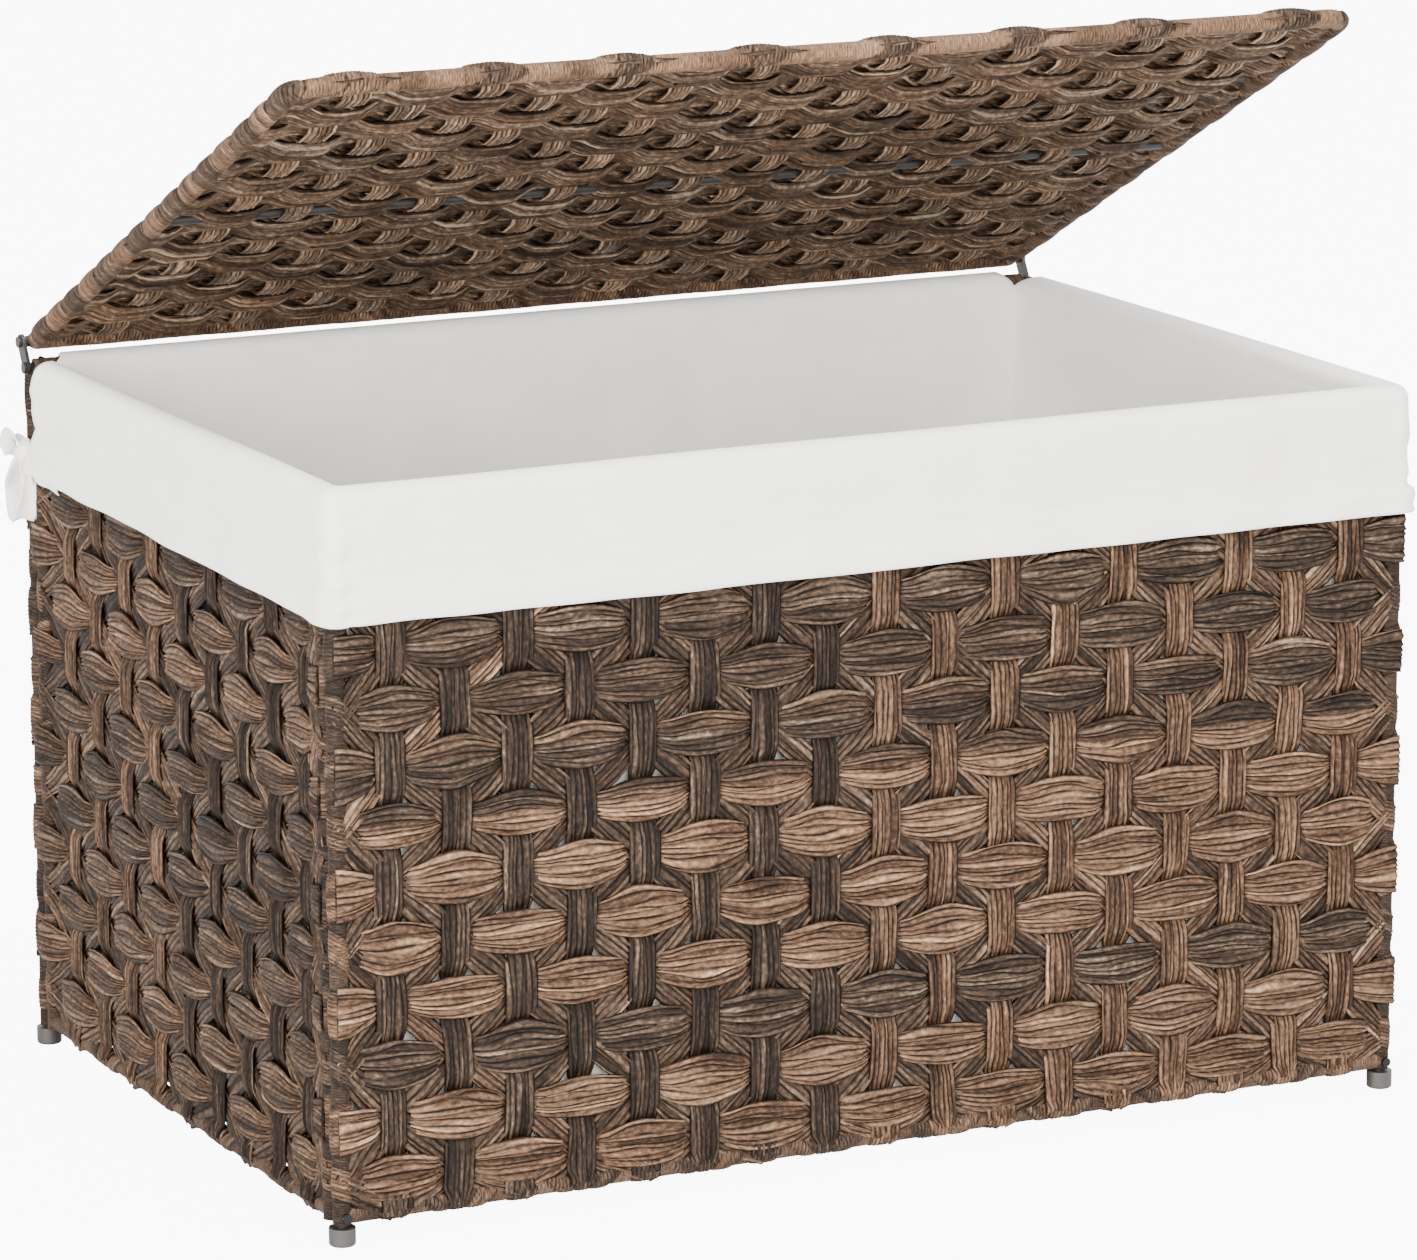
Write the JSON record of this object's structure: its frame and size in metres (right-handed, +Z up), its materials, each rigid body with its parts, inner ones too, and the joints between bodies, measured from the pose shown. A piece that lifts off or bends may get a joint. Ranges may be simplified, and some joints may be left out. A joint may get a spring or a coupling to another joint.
{
  "type": "woven laundry basket",
  "caption": "Rectangular woven laundry basket with a hinged woven lid, ribbon-bound steel frames, small metal feet and a folded cloth liner tied at the back corners.",
  "frame": {"origin": "middle of the footprint, on the floor under the feet", "axes": "+X along the long front towards the right as seen from the front, the front faces -Y, +Z up"},
  "size_m": [0.692, 0.4516, 0.6162],
  "materials": {
    "woven_ribbon": "grooved flat ribbon in mixed browns, satin",
    "rod_steel": "black powder-coated steel rod",
    "foot_steel": "dull zinc-plated cap",
    "bolt_steel": "black oxide, glossy",
    "hinge_steel": "dull grey plated steel",
    "liner_cotton": "plain-weave off-white cotton"
  },
  "bodies": {
    "basket": {"front_frame": "rod_steel", "back_frame": "rod_steel", "left_frame": "rod_steel", "right_frame": "rod_steel", "base_frame": "rod_steel", "front_binding": "woven_ribbon", "back_binding": "woven_ribbon", "left_binding": "woven_ribbon", "right_binding": "woven_ribbon", "base_binding": "woven_ribbon", "front_weave": "woven_ribbon", "back_weave": "woven_ribbon", "left_weave": "woven_ribbon", "right_weave": "woven_ribbon", "base_weave": "woven_ribbon", "foot_front_left": "foot_steel", "foot_front_right": "foot_steel", "foot_back_left": "foot_steel", "foot_back_right": "foot_steel", "corner_bolts": "bolt_steel", "hinge_link_left": "hinge_steel", "hinge_link_right": "hinge_steel", "link_rivet_left": "hinge_steel", "link_rivet_right": "hinge_steel", "liner_bag": "liner_cotton", "liner_cuff": "liner_cotton", "liner_back_flap": "liner_cotton", "tie_left": "liner_cotton", "tie_right": "liner_cotton"},
    "lid": {"lid_frame": "rod_steel", "lid_cross_rod": "rod_steel", "lid_binding": "woven_ribbon", "lid_weave": "woven_ribbon", "hinge_pin_left": "hinge_steel", "hinge_pin_right": "hinge_steel"}
  },
  "joints": [
    {"name": "lid_hinge", "type": "hinge", "parent": "basket", "child": "lid", "pos_m": [0, 0.222, 0.4163], "axis": [-1, 0, 0], "range_deg": [-26.8, 188.2]}
  ]
}
